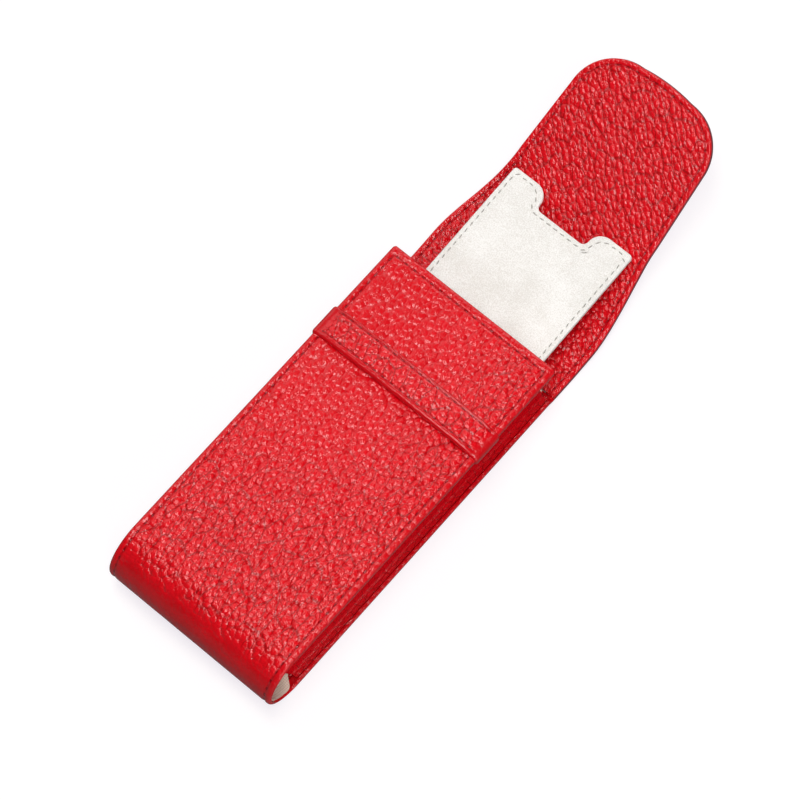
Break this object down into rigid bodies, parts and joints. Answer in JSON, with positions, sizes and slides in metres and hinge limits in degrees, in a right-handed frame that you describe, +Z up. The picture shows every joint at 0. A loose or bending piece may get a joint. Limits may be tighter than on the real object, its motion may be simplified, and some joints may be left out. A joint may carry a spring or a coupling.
{
  "type": "watch pouch",
  "caption": "Flat leather slip pouch for a wrist watch, with V-folded side gussets, a long rounded flap, a band across the front that keeps the flap, and a pale divider card with notched ends.",
  "frame": {"origin": "on the ground under the middle of the back panel's flat underside", "axes": "+X across the pouch, +Y from the closed bottom end to the mouth and flap, +Z up out of the front panel"},
  "size_m": [0.0686, 0.2327, 0.0377],
  "materials": {
    "red_leather": "pebbled, semi-matt",
    "dark_leather": "smooth, semi-matt",
    "beige_cloth": "woven",
    "grey_board": "bonded leather board",
    "pale_suede": "suede-like nap"
  },
  "bodies": {
    "pouch": {"outer_cover": "red_leather", "front_board": "grey_board", "back_board": "grey_board", "lining": "beige_cloth", "left_gusset": "dark_leather", "right_gusset": "dark_leather", "band": "red_leather", "band_lining": "dark_leather", "flap_facing_root": "red_leather", "flap_interlining_root": "grey_board"},
    "flap_1": {"flap_leather_1": "red_leather", "flap_interlining_1": "grey_board", "flap_facing_1": "red_leather"},
    "flap_2": {"flap_leather_2": "red_leather", "flap_interlining_2": "grey_board", "flap_facing_2": "red_leather"},
    "flap_3": {"flap_leather_3": "red_leather", "flap_interlining_3": "grey_board", "flap_facing_3": "red_leather"},
    "flap_4": {"flap_leather_4": "red_leather", "flap_interlining_4": "grey_board", "flap_facing_4": "red_leather"},
    "divider": {"divider_front": "pale_suede", "divider_board": "grey_board", "divider_back": "pale_suede"}
  },
  "joints": [
    {"name": "divider_slide", "type": "slide", "parent": "pouch", "child": "divider", "axis": [0, 1, 0], "range_m": [-0.07, 0.0067]},
    {"name": "flap_fold", "type": "hinge", "parent": "pouch", "child": "flap_1", "pos_m": [0, 0.07825, 0.0031], "axis": [1, 0, 0], "range_deg": [-3.02, 31.05]},
    {"name": "flap_bend_2", "type": "hinge", "parent": "flap_1", "child": "flap_2", "pos_m": [0, 0.0862, 0.00401], "axis": [1, 0, 0], "range_deg": [-4.86, 50.05]},
    {"name": "flap_bend_3", "type": "hinge", "parent": "flap_2", "child": "flap_3", "pos_m": [0, 0.106, 0.00679], "axis": [1, 0, 0], "range_deg": [-3.89, 40.05]},
    {"name": "flap_bend_4", "type": "hinge", "parent": "flap_3", "child": "flap_4", "pos_m": [0, 0.11361, 0.00926], "axis": [1, 0, 0], "range_deg": [-2.83, 29.05]}
  ],
  "couplings": [
    {"joint": "flap_fold", "follows": "divider_slide", "rad_per_m": -7.7293},
    {"joint": "flap_bend_2", "follows": "divider_slide", "rad_per_m": -12.467},
    {"joint": "flap_bend_3", "follows": "divider_slide", "rad_per_m": -9.9733},
    {"joint": "flap_bend_4", "follows": "divider_slide", "rad_per_m": -7.2306}
  ]
}
